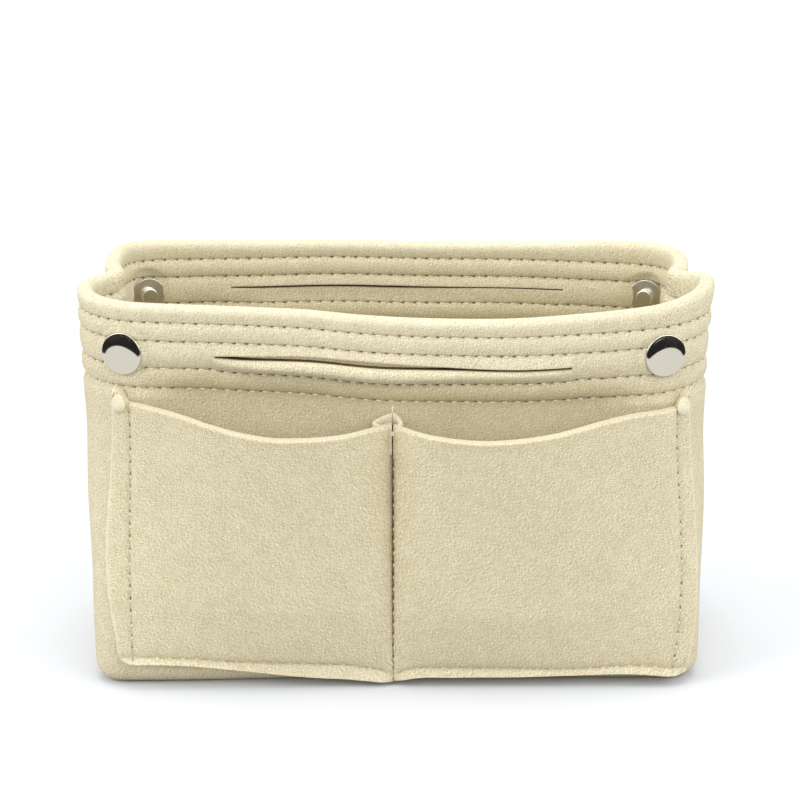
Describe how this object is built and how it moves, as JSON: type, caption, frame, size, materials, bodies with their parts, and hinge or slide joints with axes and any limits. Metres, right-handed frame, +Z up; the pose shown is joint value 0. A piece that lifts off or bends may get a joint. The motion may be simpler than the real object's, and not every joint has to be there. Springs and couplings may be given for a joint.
{
  "type": "purse organizer insert",
  "caption": "Open felt organizer insert for a handbag, with stitched rim, handle slits, patch pockets on both faces, inward-folding side gussets, press snaps and a lift-out base board",
  "frame": {"origin": "middle of the footprint, on the surface that the insert stands on", "axes": "+X along the long wall to the viewer's right, -Y towards the viewer (front face), +Z up"},
  "size_m": [0.21, 0.1146, 0.13],
  "materials": {
    "felt": "thick needle-punched wool-like felt, matt and fibrous, with matching sewing thread",
    "band_felt": "the same felt turned inside as a rim band, sewn with rows of matching thread",
    "board": "stiff pressed felt board, matt",
    "nickel": "polished nickel, mirror-smooth with a rolled edge"
  },
  "bodies": {
    "base": {"bottom_panel": "felt"},
    "base_board": {"base_board": "board"},
    "front_wall": {"front_panel": "felt", "front_rim_band": "band_felt", "front_left_pocket": "felt", "front_right_pocket": "felt", "front_left_snap_cap": "nickel", "front_left_snap_socket": "nickel", "front_left_snap_spring": "nickel", "front_right_snap_cap": "nickel", "front_right_snap_socket": "nickel", "front_right_snap_spring": "nickel"},
    "back_wall": {"back_panel": "felt", "back_rim_band": "band_felt", "back_left_pocket": "felt", "back_right_pocket": "felt", "back_left_snap_cap": "nickel", "back_left_snap_stud": "nickel", "back_right_snap_cap": "nickel", "back_right_snap_stud": "nickel"},
    "left_front_gusset": {"left_gusset_front": "felt", "left_gusset_front_band": "band_felt"},
    "left_back_gusset": {"left_gusset_back": "felt", "left_gusset_back_band": "band_felt"},
    "right_front_gusset": {"right_gusset_front": "felt", "right_gusset_front_band": "band_felt"},
    "right_back_gusset": {"right_gusset_back": "felt", "right_gusset_back_band": "band_felt"}
  },
  "joints": [
    {"name": "front_lean", "type": "hinge", "parent": "base", "child": "front_wall", "pos_m": [0, -0.045, 0.0033], "axis": [-1, 0, 0], "range_deg": [0, 11], "stiffness_Nm_per_rad": 0.6, "springref_deg": -5.73},
    {"name": "back_lean", "type": "hinge", "parent": "base", "child": "back_wall", "pos_m": [0, 0.045, 0.0033], "axis": [1, 0, 0], "range_deg": [0, 11.01], "stiffness_Nm_per_rad": 0.6, "springref_deg": -5.73},
    {"name": "base_board_lift", "type": "slide", "parent": "base", "child": "base_board", "axis": [0, 0, 1], "range_m": [0, 0.15]},
    {"name": "left_front_gusset_fold", "type": "hinge", "parent": "front_wall", "child": "left_front_gusset", "pos_m": [-0.105, -0.045, 0.0033], "axis": [0.7386, 0.6711, 0.0646], "range_deg": [0, 14.88], "deforming": ["left_gusset_front", "left_gusset_front_band"]},
    {"name": "left_back_gusset_fold", "type": "hinge", "parent": "back_wall", "child": "left_back_gusset", "pos_m": [-0.105, 0.045, 0.0033], "axis": [-0.7386, 0.6711, -0.0646], "range_deg": [0, 14.88], "deforming": ["left_gusset_back", "left_gusset_back_band"]},
    {"name": "right_front_gusset_fold", "type": "hinge", "parent": "front_wall", "child": "right_front_gusset", "pos_m": [0.105, -0.045, 0.0033], "axis": [0.7386, -0.6711, -0.0646], "range_deg": [0, 14.88], "deforming": ["right_gusset_front", "right_gusset_front_band"]},
    {"name": "right_back_gusset_fold", "type": "hinge", "parent": "back_wall", "child": "right_back_gusset", "pos_m": [0.105, 0.045, 0.0033], "axis": [-0.7386, -0.6711, 0.0646], "range_deg": [0, 14.88], "deforming": ["right_gusset_back", "right_gusset_back_band"]}
  ],
  "couplings": [
    {"joint": "back_lean", "follows": "front_lean", "ratio": 1},
    {"joint": "left_front_gusset_fold", "follows": "front_lean", "ratio": 1.3505},
    {"joint": "left_back_gusset_fold", "follows": "front_lean", "ratio": 1.3505},
    {"joint": "right_front_gusset_fold", "follows": "front_lean", "ratio": 1.3505},
    {"joint": "right_back_gusset_fold", "follows": "front_lean", "ratio": 1.3505}
  ]
}
